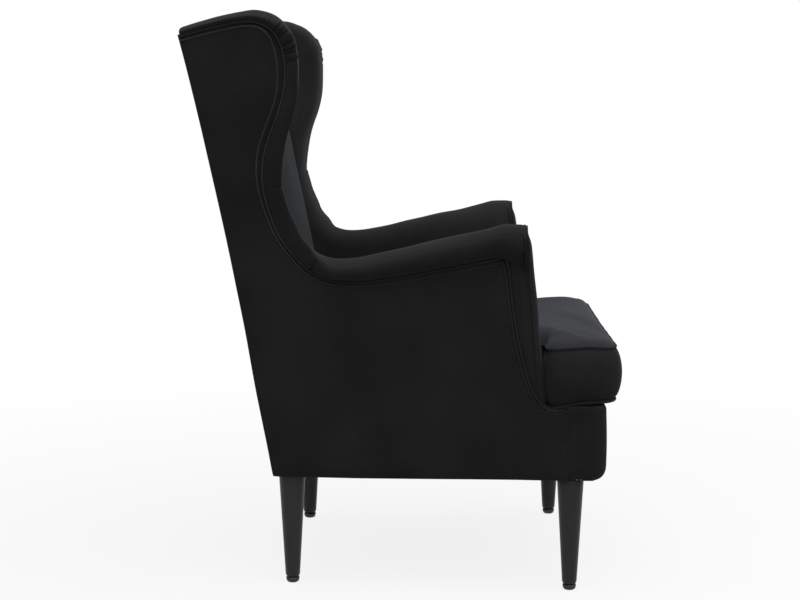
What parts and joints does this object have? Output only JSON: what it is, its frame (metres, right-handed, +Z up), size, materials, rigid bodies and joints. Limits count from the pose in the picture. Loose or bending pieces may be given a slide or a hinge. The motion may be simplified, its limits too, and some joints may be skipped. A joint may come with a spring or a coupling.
{
  "type": "wing armchair",
  "caption": "High-back upholstered armchair with outward-rolled wings and arms, a loose T-shaped seat cushion and round tapered legs.",
  "frame": {"origin": "on the floor, under the middle of the chair's length and width", "axes": "+Z up, -Y towards the front of the chair, -X towards the right of a person sitting in it"},
  "size_m": [0.7696, 0.8224, 1.0944],
  "materials": {
    "velvet": "black velvet with a short pile and a soft grey sheen",
    "lacquer": "black satin lacquer on turned wood",
    "glide": "matt black nylon",
    "frame_wood": "bare planed wood",
    "steel": "plain drawn wire and zinc plate",
    "foam": "open-cell polyurethane foam",
    "lining": "black non-woven cloth",
    "webbing": "woven jute band"
  },
  "bodies": {
    "chair": {"leg_front_R": "lacquer", "leg_front_L": "lacquer", "leg_rear_R": "lacquer", "leg_rear_L": "lacquer", "glide_front_R": "glide", "glide_front_L": "glide", "glide_rear_R": "glide", "glide_rear_L": "glide", "leg_bolt_front_R": "steel", "leg_bolt_front_L": "steel", "leg_bolt_rear_R": "steel", "leg_bolt_rear_L": "steel", "corner_block_front_R": "frame_wood", "corner_block_front_L": "frame_wood", "corner_block_rear_R": "frame_wood", "corner_block_rear_L": "frame_wood", "front_rail": "frame_wood", "rear_rail": "frame_wood", "side_rail_R": "frame_wood", "side_rail_L": "frame_wood", "seat_spring_1": "steel", "seat_spring_2": "steel", "seat_spring_3": "steel", "seat_spring_4": "steel", "back_post_R": "frame_wood", "back_post_L": "frame_wood", "top_rail": "frame_wood", "lower_back_rail": "frame_wood", "back_strap_1": "webbing", "back_strap_2": "webbing", "wing_frame_R": "frame_wood", "wing_frame_L": "frame_wood", "wing_pad_R": "velvet", "wing_pad_L": "velvet", "wing_roll_R": "velvet", "wing_roll_L": "velvet", "arm_frame_R": "frame_wood", "arm_frame_L": "frame_wood", "arm_pad_R": "velvet", "arm_pad_L": "velvet", "arm_roll_R": "velvet", "arm_roll_L": "velvet", "arm_front_pad_R": "velvet", "arm_front_pad_L": "velvet", "arm_facing_R": "velvet", "arm_facing_L": "velvet", "outside_panel_R": "velvet", "outside_panel_L": "velvet", "outside_back_panel": "velvet", "inside_back_pad": "velvet", "front_apron": "velvet", "seat_deck": "lining", "dust_cover": "lining", "double_welt_R": "velvet", "double_welt_L": "velvet"},
    "cushion": {"cushion_core": "foam", "cushion_cover": "velvet", "cushion_welt_top": "velvet", "cushion_welt_bottom": "velvet"}
  },
  "joints": [
    {"name": "cushion_lift", "type": "slide", "parent": "chair", "child": "cushion", "axis": [0, 0, 1], "range_m": [0, 0.35]}
  ]
}
